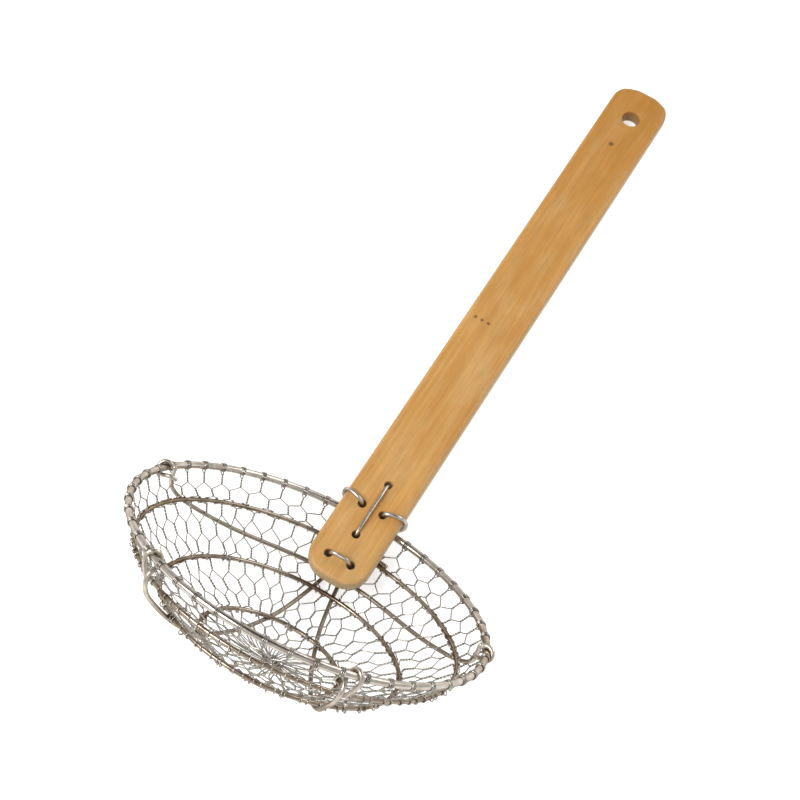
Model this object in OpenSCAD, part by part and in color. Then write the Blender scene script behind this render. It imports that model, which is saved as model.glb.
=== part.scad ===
// Hand-tied wire spider skimmer with a flat bamboo handle.
// Millimetres. +Z is up and z = 0 is the table it lies on: the bowl rests on
// its two spokes and the handle on its far end. The origin is the point of
// the table below the middle of the whole skimmer, and the handle runs along +X.

/* [Bowl] */
// Radius of the rim, to the middle of its wire
rim_radius = 114.3; // [108:0.1:118]
// Depth of the net below the rim
bowl_depth = 65; // [62:1:68]
// Thickness of the rim wire
rim_wire = 4.5; // [3.5:0.1:5]
// Thickness of the hoops, the cross wire and the spokes
frame_wire = 2.8; // [2.2:0.1:3]
// Angle down the bowl at which the upper hoop lies
upper_angle = 50.1; // [48:0.1:52]
// Angle down the bowl at which the middle hoop lies
middle_angle = 34.9; // [32:0.1:37]
// Angle down the bowl at which the lower hoop lies
lower_angle = 19.5; // [17:0.1:22]

/* [Net] */
// Thickness of one net wire
net_wire = 0.8; // [0.6:0.05:1]
// Thickness of two net wires twisted together
twist_width = 1.3; // [1:0.05:1.6]
// Radius at which the cells end and the wires run straight to the knot
cells_end_radius = 25; // [22:1:28]
// Radius of the knot that holds the wire ends
knot_radius = 11; // [9:1:13]
// Length of each wrapping on the rim
collar_length = 3.2; // [2.5:0.1:4]

/* [Handle] */
// Length of the bamboo handle
handle_length = 454; // [380:1:480]
// Width of the handle
handle_width = 42; // [38:1:46]
// Thickness of the handle
handle_thickness = 11; // [9:0.5:12]
// Angle between the handle and the rim
handle_tilt = 45; // [40:1:50]
// How far the tip reaches into the bowl, measured along the handle
tip_reach = 52.3; // [48:0.1:56]
// Radius of the hanging hole
hang_hole_radius = 6.2; // [5:0.1:8]
// Distance of the hanging hole from the end of the handle
hang_hole_inset = 28.5; // [24:0.5:34]
// Radius of the lacing holes
lace_hole_radius = 2.5; // [2.3:0.1:3]

/* [Hidden] */
eps = 0.05;

bamboo_tint = [0.84, 0.62, 0.36];
rim_tint = [0.72, 0.69, 0.64];
frame_tint = [0.45, 0.40, 0.35];
net_tint = [0.60, 0.58, 0.55];

// Each of the twelve sectors of the net has four wires folded over the rim.
sectors = 12;
wires_per_sector = 4;
sector_span = 360 / sectors;
pitch = sector_span / wires_per_sector;

// The net is part of a sphere through the rim.
sphere_radius = (rim_radius * rim_radius + bowl_depth * bowl_depth) / (2 * bowl_depth);
sphere_z = sphere_radius - bowl_depth;
rim_angle = asin(rim_radius / sphere_radius);
hoop_sphere = sphere_radius + net_wire / 2 + eps * 2 + frame_wire / 2;
spoke_sphere = hoop_sphere + frame_wire + eps;
support_radius = spoke_sphere + frame_wire / 2;

// The handle's own directions: s along it, d up out of its top face.
rim_gap = 0.1;
face_lift = (handle_thickness + rim_gap + rim_wire / 2) / cos(handle_tilt);
rim_foot = -face_lift * sin(handle_tilt);
tip_s = rim_foot - tip_reach;
end_s = tip_s + handle_length;
edge_radius = 3;

// Lying on the table, the end of the handle and the spokes touch it.
function handle_point(s, y, d) =
    [rim_radius + s * cos(handle_tilt) - d * sin(handle_tilt), y,
     face_lift + s * sin(handle_tilt) + d * cos(handle_tilt)];
end_corner = handle_point(end_s - edge_radius, 0, edge_radius - handle_thickness)
    - [0, 0, sphere_z];
rest_tilt = atan2(end_corner[2], end_corner[0])
    + asin((support_radius - edge_radius) / norm(end_corner));
rest_lift = support_radius - sphere_z * cos(rest_tilt);
function rest_x(p) = p[0] * cos(rest_tilt) + p[2] * sin(rest_tilt);

// The upper hoop and the end of the handle reach furthest along X.
low_x = rest_x(bowl_point(hoop_sphere, upper_angle, 180)) - frame_wire / 2;
high_x = rest_x(handle_point(end_s, 0, -edge_radius));
rest_shift = -(low_x + high_x) / 2;

module at_rest() translate([rest_shift, 0, rest_lift]) rotate([0, rest_tilt, 0]) children();

// ---- wires swept along a path ----
wire_sides = 8;
function bowl_point(rho, polar, az) =
    [rho * sin(polar) * cos(az), rho * sin(polar) * sin(az), sphere_z - rho * cos(polar)];
function round_rim(az, reach, turn) =
    [(rim_radius + reach * cos(turn)) * cos(az), (rim_radius + reach * cos(turn)) * sin(az),
     reach * sin(turn)];
function smooth(p, times) = times == 0 ? p : smooth(concat([p[0]],
    [for (i = [0:len(p) - 2])
        each [0.75 * p[i] + 0.25 * p[i + 1], 0.25 * p[i] + 0.75 * p[i + 1]]],
    [p[len(p) - 1]]), times - 1);
function unit(v) = v / norm(v);
function heading(p, i) = unit(p[min(i + 1, len(p) - 1)] - p[max(i - 1, 0)]);
function square_to(v, t) = unit(v - (v * t) * t);
function any_side(t) = abs(t[2]) < 0.8 ? [0, 0, 1] : [1, 0, 0];
function strip(a, b, k) =
    let (next = (k + 1) % wire_sides) [[a + k, b + k, b + next], [a + k, b + next, a + next]];
module wire(path, thickness) {
    last = len(path) - 1;
    sides = [for (i = 0, v = square_to(any_side(heading(path, 0)), heading(path, 0)); i <= last;
        i = i + 1, v = i <= last ? square_to(v, heading(path, i)) : v) v];
    rings = [for (i = [0:last]) for (k = [0:wire_sides - 1])
        path[i] + thickness / 2 * (cos(k * 360 / wire_sides) * sides[i]
            + sin(k * 360 / wire_sides) * cross(heading(path, i), sides[i]))];
    polyhedron(rings, concat(
        [[for (k = [0:wire_sides - 1]) k]],
        [for (i = [0:last - 1]) for (k = [0:wire_sides - 1])
            each strip(i * wire_sides, (i + 1) * wire_sides, k)],
        [[for (k = [wire_sides - 1:-1:0]) last * wire_sides + k]]));
}

// ---- handle ----
lace_s = rim_foot + 2.6;
staple_out_s = rim_foot + 23;
staple_in_s = rim_foot - 18;
tip_lace_s = rim_foot - 38.2;
lace_y = 7.6;
tip_lace_y = 8.2;
hang_s = end_s - hang_hole_inset;
module rounded_end(x, corner, way) {
    for (y = [-1, 1]) translate([x - way * corner, y * (handle_width / 2 + eps - corner)])
        circle(r = corner, $fn = 64);
}
// The far end bulges a little between its corners, on a circle of this radius.
end_crown = 50;
module handle_plan() {
    tip_corner = 16;
    far_corner = 13;
    half = handle_width / 2 + eps;
    body_end = end_s - far_corner;
    rounded_end(tip_s, tip_corner, -1);
    translate([tip_s + tip_corner, -half]) square([body_end - tip_s - tip_corner, 2 * half]);
    translate([tip_s, -half + tip_corner]) square([body_end - tip_s, 2 * (half - tip_corner)]);
    intersection() {
        union() {
            rounded_end(end_s, far_corner, 1);
            translate([body_end, -half + far_corner]) square([far_corner, 2 * (half - far_corner)]);
        }
        translate([end_s - end_crown, 0]) circle(r = end_crown, $fn = 128);
    }
}
module rounded_slab(length, height, radius) {
    for (x = [radius, length - radius]) for (y = [radius, height - radius])
        translate([x, y]) circle(r = radius, $fn = 48);
    translate([radius, 0]) square([length - 2 * radius, height]);
    translate([0, radius]) square([length, height - 2 * radius]);
}
module drilled(s, y, radius) translate([s, y, -handle_thickness - 1])
    cylinder(r = radius, h = handle_thickness + 2, $fn = 48);
module handle() color(bamboo_tint) at_rest()
    translate([rim_radius, 0, face_lift]) rotate([0, -handle_tilt, 0]) difference() {
        intersection() {
            translate([0, 0, -handle_thickness - 1]) linear_extrude(handle_thickness + 2)
                handle_plan();
            translate([tip_s - 1, -handle_width / 2, -handle_thickness]) rotate([90, 0, 90])
                linear_extrude(handle_length + 2)
                    rounded_slab(handle_width, handle_thickness, edge_radius);
            translate([tip_s - eps, handle_width / 2 + 1, -handle_thickness]) rotate([90, 0, 0])
                linear_extrude(handle_width + 2)
                    rounded_slab(handle_length + 2 * eps, handle_thickness, edge_radius);
        }
        drilled(hang_s, 0, hang_hole_radius);
        drilled(staple_out_s, 0, lace_hole_radius);
        drilled(staple_in_s, 0, lace_hole_radius);
        for (y = [-1, 1]) {
            drilled(lace_s, y * lace_y, lace_hole_radius);
            drilled(tip_lace_s, y * tip_lace_y, lace_hole_radius);
        }
    }

// ---- rim and hoops ----
module ring(radius, z, thickness) translate([0, 0, z]) rotate_extrude($fn = 128)
    translate([radius, 0]) circle(d = thickness, $fn = 32);
module hoop(angle) at_rest()
    ring(hoop_sphere * sin(angle), sphere_z - hoop_sphere * cos(angle), frame_wire);
module rim_hoop() color(rim_tint) at_rest() ring(rim_radius, 0, rim_wire);
module upper_hoop() color(frame_tint) hoop(upper_angle);
module middle_hoop() color(frame_tint) hoop(middle_angle);
module lower_hoop() color(frame_tint) hoop(lower_angle);

// ---- cross wire and spokes ----
// Smoothing draws a coil's corners in, so they start an eighth further out.
coil_reach = (rim_wire / 2 + frame_wire / 2 + eps) * 1.12;
cross_az = 10.5 * pitch;
cross_polar = 41.4;
coil_half = 1.85;
function cross_layer(az) = az > 52 ? spoke_sphere : hoop_sphere;
cross_half = concat(
    [for (az = [0:13:65]) bowl_point(cross_layer(az), cross_polar + 9.6 * pow(az / 69, 4.1), az)],
    [bowl_point(spoke_sphere, 52, 71.2), bowl_point(spoke_sphere - 1, 54.5, 73.8),
     bowl_point(sphere_radius - 1.5, 56.8, cross_az - coil_half - 0.8),
     bowl_point(sphere_radius - 5.6, 59.2, cross_az - coil_half)],
    [for (i = [0:5]) round_rim(cross_az + coil_half * (0.4 * i - 1), coil_reach, 160 - 52 * i)],
    [bowl_point(sphere_radius - 5.2, 57.2, cross_az + coil_half),
     bowl_point(sphere_radius - 8.4, 55.8, cross_az + coil_half - 1.4)]);
function flip(p) = [for (v = p) [v[0], -v[1], v[2]]];
cross_path = concat([for (i = [len(cross_half) - 1:-1:1]) cross_half[i]], flip(cross_half));
module cross_wire() color(frame_tint) at_rest() wire(smooth(cross_path, 2), frame_wire);

// The spokes are bent by hand, so the left one turns a little further out.
spoke_az = 19.5 * pitch;
spoke_y = 4.4;
left_turn_y = 6.6;
right_turn_y = 4.4;
spoke_start = rim_radius * [cos(spoke_az), sin(spoke_az)];
spoke_turn_x = 79;
function under_bowl(xy, rho) =
    [xy[0], xy[1], sphere_z - sqrt(rho * rho - xy[0] * xy[0] - xy[1] * xy[1])];
loop_side = handle_width / 2 + frame_wire / 2 + 0.3;
loop_top = frame_wire / 2 + 0.3;
function spoke_path(turn_y) = concat(
    [bowl_point(sphere_radius + 6, 53.5, spoke_az - coil_half + 1),
     bowl_point(sphere_radius + 5.5, 57, spoke_az - coil_half + 0.3)],
    [for (i = [0:5]) round_rim(spoke_az + coil_half * (0.4 * i - 1), coil_reach, 54 * i - 10)],
    [bowl_point(sphere_radius + 8, 56.8, spoke_az + coil_half),
     bowl_point(sphere_radius + 11, 52.5, spoke_az + coil_half),
     bowl_point(sphere_radius + 8.2, 47, spoke_az + coil_half - 0.6)],
    [for (i = [2:8]) let (t = i / 9)
        under_bowl(spoke_start * (1 - t) + [spoke_turn_x, turn_y] * t, spoke_sphere)],
    [for (polar = [41:6:59]) under_bowl([spoke_sphere * sin(polar), spoke_y], spoke_sphere)],
    [handle_point(rim_foot + 1, 8.5, -18.4), handle_point(rim_foot + 4, 17, -16.5),
     handle_point(rim_foot + 6.5, loop_side, -11), handle_point(rim_foot + 7, loop_side, -3),
     handle_point(rim_foot + 6, loop_side - 3.4, loop_top + 1),
     handle_point(rim_foot + 4.4, 14, loop_top + 1.9), handle_point(lace_s + 0.6, 9, loop_top + 1.3),
     handle_point(lace_s, lace_y, -0.5), handle_point(lace_s, lace_y, -6)]);
module left_spoke() color(frame_tint) at_rest() wire(smooth(spoke_path(left_turn_y), 2), frame_wire);
module right_spoke() color(frame_tint) at_rest()
    wire(smooth(flip(spoke_path(right_turn_y)), 2), frame_wire);

// ---- staples ----
rim_staple_wire = 2.3;
tip_staple_wire = 2.6;
tip_staple_rise = 3.4;
under_rim = rim_wire / 2 + 0.75 + rim_staple_wire / 2 + 0.3;
staple_shift = 1.75;
rim_d = -handle_thickness - rim_gap - rim_wire / 2;
staple_top = rim_staple_wire / 2 + 0.15;
rim_staple_path = [
    handle_point(rim_foot + 5.5, staple_shift, rim_d - under_rim + 1),
    handle_point(rim_foot - 2, staple_shift, rim_d - under_rim),
    handle_point(rim_foot - 9, staple_shift, rim_d - under_rim + 2.6),
    handle_point(staple_in_s, 0.6, -handle_thickness - 1.2),
    handle_point(staple_in_s, 0, -handle_thickness / 2),
    handle_point(staple_in_s + 0.3, 0, staple_top + 0.2),
    handle_point((staple_in_s + staple_out_s) / 2, 0, staple_top + 0.4),
    handle_point(staple_out_s - 0.3, 0, staple_top + 0.2),
    handle_point(staple_out_s, 0, -handle_thickness / 2),
    handle_point(staple_out_s, -0.6, -handle_thickness - 1.2),
    handle_point(rim_foot + 9, -staple_shift, rim_d - under_rim + 2.6),
    handle_point(rim_foot + 2, -staple_shift, rim_d - under_rim),
    handle_point(rim_foot - 4, -staple_shift, rim_d - under_rim + 0.4)];
module rim_staple() color(rim_tint) at_rest() wire(smooth(rim_staple_path, 2), rim_staple_wire);
hook_sphere = hoop_sphere + frame_wire / 2 + tip_staple_wire / 2 + eps;
tip_half = [
    handle_point(tip_lace_s, 0, tip_staple_wire / 2 + tip_staple_rise),
    handle_point(tip_lace_s, tip_lace_y - 2, tip_staple_wire / 2 + tip_staple_rise),
    handle_point(tip_lace_s, tip_lace_y, -handle_thickness / 2),
    handle_point(tip_lace_s - 1.4, tip_lace_y, -handle_thickness - 4),
    under_bowl([(sphere_radius + 1) * sin(cross_polar - 2.6), tip_lace_y], sphere_radius + 0.5),
    under_bowl([hook_sphere * sin(cross_polar - 1), tip_lace_y], hook_sphere),
    under_bowl([hook_sphere * sin(cross_polar + 2.2), tip_lace_y], hook_sphere)];
tip_staple_path = concat([for (i = [len(tip_half) - 1:-1:1]) tip_half[i]], flip(tip_half));
module tip_staple() color(rim_tint) at_rest() wire(smooth(tip_staple_path, 2), tip_staple_wire);

// ---- net ----
// The hoops part the net into bands, and some wires end at each hoop. A band
// has its top and bottom angle, its rows of cells and its twists per sector.
cells_end_angle = asin(cells_end_radius / sphere_radius);
knot_angle = asin(knot_radius / sphere_radius);
// The wires stay twisted from the rim to just below its wrappings.
rim_twist_angle = 1.8;
rim_cells_angle = rim_angle - rim_twist_angle;
bands = [[rim_cells_angle, upper_angle, 2, 4], [upper_angle, middle_angle, 3, 4],
         [middle_angle, lower_angle, 3, 3], [lower_angle, cells_end_angle, 2, 2]];
// Cells keep their shape as they shrink: rows are even in ln(tan(angle / 2)).
// The twisted stretch of a row lies between these shares of its height.
twist_from = 0.14;
twist_to = 0.73;
function level(band, step) = let (top = tan(band[0] / 2), bottom = tan(band[1] / 2))
    2 * atan(top * pow(bottom / top, step / band[2]));
// A lattice corner seen from the middle of the sphere, on the plane that
// touches the net at the cell's centre.
function on_plane(polar, az, polar0) =
    let (v = [sin(polar) * cos(az), sin(polar) * sin(az), -cos(polar)],
         out = [sin(polar0), 0, -cos(polar0)],
         down = [cos(polar0), 0, sin(polar0)])
    sphere_radius * [v * down, v[1]] / (v * out);
function edge_line(a, b, gap) =
    let (t = unit(b - a), n = [t[1], -t[0]]) [n[0], n[1], n * a + gap];
function meet(p, q) = let (k = p[0] * q[1] - p[1] * q[0])
    [(p[2] * q[1] - q[2] * p[1]) / k, (p[0] * q[2] - q[0] * p[2]) / k];
function inset(corners, gaps) =
    let (n = len(corners),
         lines = [for (i = [0:n - 1]) edge_line(corners[i], corners[(i + 1) % n], gaps[i])])
    [for (i = [0:n - 1]) meet(lines[(i + n - 1) % n], lines[i])];
function row_middle(band, row) = level(band, row + (twist_from + twist_to) / 2);
// A cell lies between two twists. It has a peak, unless the band starts there,
// and a foot, unless the band ends there.
function cell(band, row) =
    let (half = sector_span / band[3] / 2, mid = row_middle(band, row),
         first = row == 0, last = row == band[2] - 1,
         upper = !first ? level(band, row + twist_from) : band == bands[0] ? rim_angle : band[0],
         lower = last ? band[1] : level(band, row + twist_to),
         peak = first ? [] : [on_plane(level(band, row - 1 + twist_to), 0, mid)],
         foot = last ? [] : [on_plane(level(band, row + 1 + twist_from), 0, mid)],
         bar = net_wire / 2, twist = twist_width / 2)
    inset(concat([on_plane(upper, half, mid)], peak, [on_plane(upper, -half, mid)],
                 [on_plane(lower, -half, mid)], foot, [on_plane(lower, half, mid)]),
          concat(first ? [bar] : [bar, bar], [twist], last ? [bar] : [bar, bar], [twist]));
slot_middle = (cells_end_angle + knot_angle) / 2;
function slot() = let (half = pitch / 2, top = cells_end_angle, bottom = knot_angle - 1)
    inset([on_plane(top, half, slot_middle), on_plane(top, -half, slot_middle),
           on_plane(bottom, -half, slot_middle), on_plane(bottom, half, slot_middle)],
          [net_wire, net_wire, 0, net_wire] / 2);
module punch(corners, polar, az) rotate([0, 0, az]) translate([0, 0, sphere_z])
    rotate([0, 90 - polar, 0]) translate([sphere_radius - net_wire * 2, 0, 0])
        rotate([90, 0, 90]) linear_extrude(net_wire * 4) polygon([for (c = corners) [c[1], c[0]]]);
shell_top = rim_angle - (rim_wire / 2 + 0.35) / sphere_radius * 180 / PI;
module shell(az, span) rotate([0, 0, az]) rotate_extrude(angle = span, $fn = 128)
    translate([0, sphere_z]) intersection() {
        difference() {
            circle(r = sphere_radius + net_wire / 2, $fn = 256);
            circle(r = sphere_radius - net_wire / 2, $fn = 256);
        }
        polygon([[0, 0], 2 * sphere_radius * [sin(knot_angle - 0.6), -cos(knot_angle - 0.6)],
                 2 * sphere_radius * [sin(shell_top), -cos(shell_top)]]);
    }
module collar(az) rotate([0, 0, az]) translate([rim_radius, collar_length / 2, 0]) rotate([90, 0, 0])
    difference() {
        cylinder(r = rim_wire / 2 + net_wire, h = collar_length, $fn = 32);
        translate([0, 0, -1]) cylinder(r = rim_wire / 2 + eps, h = collar_length + 2, $fn = 32);
    }
module net_sector(number) color(net_tint) at_rest() {
    from = (number - 1) * sector_span - pitch / 2;
    difference() {
        shell(from + eps, sector_span - 2 * eps);
        for (band = bands) for (row = [0:band[2] - 1]) for (column = [0:band[3] - row % 2])
            punch(cell(band, row), row_middle(band, row),
                  from + (column + row % 2 / 2) * sector_span / band[3]);
        for (wire = [0:wires_per_sector]) punch(slot(), slot_middle, from + wire * pitch);
    }
    for (wire = [1:wires_per_sector]) collar(from + (wire - 0.5) * pitch);
}
module net_knot() color(net_tint) at_rest() rotate_extrude($fn = 96) translate([0, sphere_z])
    intersection() {
        difference() {
            circle(r = sphere_radius + net_wire, $fn = 256);
            circle(r = sphere_radius - net_wire, $fn = 256);
        }
        polygon([[0, 0], [0, -2 * sphere_radius],
                 2 * sphere_radius * [sin(knot_angle - 0.7), -cos(knot_angle - 0.7)]]);
    }

handle();
rim_hoop();
upper_hoop();
middle_hoop();
lower_hoop();
cross_wire();
left_spoke();
right_spoke();
rim_staple();
tip_staple();
net_knot();
net_sector(1);  // net_sector_01
net_sector(2);  // net_sector_02
net_sector(3);  // net_sector_03
net_sector(4);  // net_sector_04
net_sector(5);  // net_sector_05
net_sector(6);  // net_sector_06
net_sector(7);  // net_sector_07
net_sector(8);  // net_sector_08
net_sector(9);  // net_sector_09
net_sector(10);  // net_sector_10
net_sector(11);  // net_sector_11
net_sector(12);  // net_sector_12
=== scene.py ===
"""A hand-tied wire skimmer with a flat bamboo handle, lying on a pale table.

Shapes are worked out in the bowl's own frame, in millimetres: its origin is the middle of the rim,
z runs up the bowl's axis and the handle lies towards +x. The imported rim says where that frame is.
"""

import math

import bpy
import numpy as np
from mathutils import Matrix, Vector, noise


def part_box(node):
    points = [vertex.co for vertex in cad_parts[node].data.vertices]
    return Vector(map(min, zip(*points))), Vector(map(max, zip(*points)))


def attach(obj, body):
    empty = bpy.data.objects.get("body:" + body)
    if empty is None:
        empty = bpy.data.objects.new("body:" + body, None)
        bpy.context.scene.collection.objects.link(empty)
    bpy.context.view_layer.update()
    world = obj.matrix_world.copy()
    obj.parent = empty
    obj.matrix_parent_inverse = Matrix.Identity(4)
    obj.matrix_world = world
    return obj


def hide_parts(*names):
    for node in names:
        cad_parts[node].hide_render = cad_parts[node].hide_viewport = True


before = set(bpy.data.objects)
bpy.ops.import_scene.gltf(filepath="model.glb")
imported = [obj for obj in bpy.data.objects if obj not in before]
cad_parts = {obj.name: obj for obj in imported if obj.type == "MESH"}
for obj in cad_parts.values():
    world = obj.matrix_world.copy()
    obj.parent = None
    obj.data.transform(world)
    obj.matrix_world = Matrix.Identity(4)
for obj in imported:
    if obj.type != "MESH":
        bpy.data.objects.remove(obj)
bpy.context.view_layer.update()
MM = 0.001
# Blender's noise_vector takes its seed from the clock unless it is given one. The net's bends use it.
NET_SEED = 1
noise.seed_set(NET_SEED)

# ---- sizes, in millimetres and degrees, as in the CAD unless a comment says otherwise ----
RIM_WIRE = 4.5
FRAME_WIRE = 2.8
NET_WIRE = 0.8
BOWL_DEPTH = 65
UPPER_ANGLE, MIDDLE_ANGLE, LOWER_ANGLE = 50.1, 34.9, 19.5
SECTORS, WIRES_PER_SECTOR = 12, 4
CELLS_END_RADIUS = 25
TWIST_FROM, TWIST_TO = 0.14, 0.73
HANDLE_LENGTH, HANDLE_WIDTH, HANDLE_THICKNESS = 454, 42, 11
HANDLE_TILT = 45
TIP_REACH = 52.3
TIP_CORNER, EDGE_RADIUS = 16, 3
HANG_HOLE_RADIUS, HANG_HOLE_INSET, LACE_HOLE_RADIUS = 6.2, 28.5, 2.5
# The far end is more domed than in the CAD, where its corners are 13 and its crown 50.
FAR_CORNER, END_CROWN = 15, 32


def sin(degrees):
    return math.sin(math.radians(degrees))


def cos(degrees):
    return math.cos(math.radians(degrees))


def tan(degrees):
    return math.tan(math.radians(degrees))


# ---- the bowl's frame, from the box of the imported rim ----
rim_low, rim_high = (np.array(corner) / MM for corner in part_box("rim_hoop"))
rim_middle, rim_half = (rim_low + rim_high) / 2, (rim_high - rim_low) / 2
RIM_RADIUS = rim_half[1] - RIM_WIRE / 2
REST_TILT = math.atan2(rim_half[2] - RIM_WIRE / 2, rim_half[0] - RIM_WIRE / 2)
TO_ROW = (Matrix.Translation(Vector(rim_middle) * MM) @ Matrix.Rotation(REST_TILT, 4, "Y")
          @ Matrix.Scale(MM, 4))

SPHERE_RADIUS = (RIM_RADIUS ** 2 + BOWL_DEPTH ** 2) / (2 * BOWL_DEPTH)
SPHERE_Z = SPHERE_RADIUS - BOWL_DEPTH
RIM_ANGLE = math.degrees(math.asin(RIM_RADIUS / SPHERE_RADIUS))
HOOP_SPHERE = SPHERE_RADIUS + 0.5 + FRAME_WIRE / 2
SPOKE_SPHERE = HOOP_SPHERE + FRAME_WIRE + 0.05
PITCH = 360 / (SECTORS * WIRES_PER_SECTOR)

# The handle's own directions: s along it, y across it, d up out of its top face.
FACE_LIFT = (HANDLE_THICKNESS + 0.1 + RIM_WIRE / 2) / cos(HANDLE_TILT)
RIM_FOOT = -FACE_LIFT * sin(HANDLE_TILT)
TIP_S = RIM_FOOT - TIP_REACH
END_S = TIP_S + HANDLE_LENGTH
HANG_S = END_S - HANG_HOLE_INSET
LACE_S, LACE_Y = RIM_FOOT + 2.6, 7.6
STAPLE_OUT_S, STAPLE_IN_S = RIM_FOOT + 23, RIM_FOOT - 18
TIP_LACE_S, TIP_LACE_Y = RIM_FOOT - 38.2, 8.2


def handle_point(s, y, d):
    return np.array([RIM_RADIUS + s * cos(HANDLE_TILT) - d * sin(HANDLE_TILT), y,
                     FACE_LIFT + s * sin(HANDLE_TILT) + d * cos(HANDLE_TILT)])


def bowl_point(rho, polar, az):
    return np.array([rho * sin(polar) * cos(az), rho * sin(polar) * sin(az),
                     SPHERE_Z - rho * cos(polar)])


def under_bowl(x, y, rho):
    return np.array([x, y, SPHERE_Z - math.sqrt(rho * rho - x * x - y * y)])


def round_rim(az, reach, turn):
    """A point beside the rim: turn 0 is outside it, 90 on top, 180 inside and 270 under it."""
    radius = RIM_RADIUS + reach * cos(turn)
    return np.array([radius * cos(az), radius * sin(az), reach * sin(turn)])


# ---- meshes of wires ----
WIRE_SHARP_ANGLE = 65
HANDLE_SHARP_ANGLE = 35
WOBBLE_SCALE = 0.31
END_BEVEL = 0.3


def smooth(path, times):
    """Cuts the corners off a path, as often as told."""
    p = np.asarray(path, float)
    for _ in range(times):
        cut = np.empty((2 * len(p), 3))
        cut[0], cut[-1] = p[0], p[-1]
        cut[1:-1:2] = 0.75 * p[:-1] + 0.25 * p[1:]
        cut[2:-1:2] = 0.25 * p[:-1] + 0.75 * p[1:]
        p = cut
    return p


def soften(path, times):
    """Rounds a finely sampled path without moving its ends."""
    p = np.array(path, float)
    for _ in range(times):
        p[1:-1] = 0.25 * p[:-2] + 0.5 * p[1:-1] + 0.25 * p[2:]
    return p


def directions(p, closed):
    """Which way a path heads at each point, and a sideways direction that turns as little as it can."""
    heading = np.roll(p, -1, 0) - np.roll(p, 1, 0)
    if not closed:
        heading[0], heading[-1] = p[1] - p[0], p[-1] - p[-2]
    heading /= np.linalg.norm(heading, axis=1)[:, None]
    side = np.empty_like(p)
    v = np.array([0, 0, 1.0]) if abs(heading[0][2]) < 0.8 else np.array([1.0, 0, 0])
    for i in range(len(p)):
        v = v - heading[i] * (v @ heading[i])
        v = v / math.sqrt(v @ v)
        side[i] = v
    return heading, side


def tube(path, thickness, sides, closed=False, wobble=0.0):
    """A wire along a path: its points and faces. An open wire gets slightly rounded cut ends."""
    p = np.asarray(path, float)
    heading, side = directions(p, closed)
    up = np.cross(heading, side)
    turn = np.arange(sides) * 2 * math.pi / sides
    radius = np.full(len(p), thickness / 2)
    if wobble:
        radius *= [1 + wobble * noise.noise(Vector(q) * WOBBLE_SCALE) for q in p]
    ring = np.cos(turn)[None, :, None] * side[:, None] + np.sin(turn)[None, :, None] * up[:, None]
    rows = list(p[:, None] + ring * radius[:, None, None])
    if not closed:
        bevel = END_BEVEL * thickness
        inner = thickness / 2 - bevel / 2
        rows.insert(0, p[0] - 0.25 * bevel * heading[0] + ring[0] * inner)
        rows.append(p[-1] + 0.25 * bevel * heading[-1] + ring[-1] * inner)
    points = np.concatenate(rows)
    count = len(rows)
    around = np.arange(sides)
    after = (around + 1) % sides
    low = np.arange(count if closed else count - 1)[:, None] * sides
    high = (low + sides) % (count * sides)
    faces = np.stack([low + around, high + around, high + after, low + after], -1).reshape(-1, 4).tolist()
    if not closed:
        faces.append(list(range(sides)))
        faces.append([len(points) - sides + k for k in reversed(range(sides))])
    return points, faces


def made_object(name, parts, sharp_angle):
    """Joins parts, in the bowl's frame, into one object in the row's frame."""
    points, faces, start = [], [], 0
    for part_points, part_faces in parts:
        points.append(part_points)
        faces += [[i + start for i in face] for face in part_faces]
        start += len(part_points)
    rows = np.c_[np.concatenate(points), np.ones(start)] @ np.array(TO_ROW).T
    mesh = bpy.data.meshes.new(name)
    mesh.from_pydata(rows[:, :3].tolist(), [], faces)
    mesh.polygons.foreach_set("use_smooth", [True] * len(mesh.polygons))
    mesh.set_sharp_from_angle(angle=math.radians(sharp_angle))
    made = bpy.data.objects.new(name, mesh)
    bpy.context.scene.collection.objects.link(made)
    return made


def keep_piece(made, material, slot, *nodes):
    """Gives an object its material, hangs it under the root body and hides the CAD nodes that it stands for.
    """
    made.data.materials.append(material)
    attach(made, "root")
    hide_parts(*nodes)


def piece(name, parts, material, slot, *nodes):
    keep_piece(made_object(name, parts, WIRE_SHARP_ANGLE), material, slot, *nodes)


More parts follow.
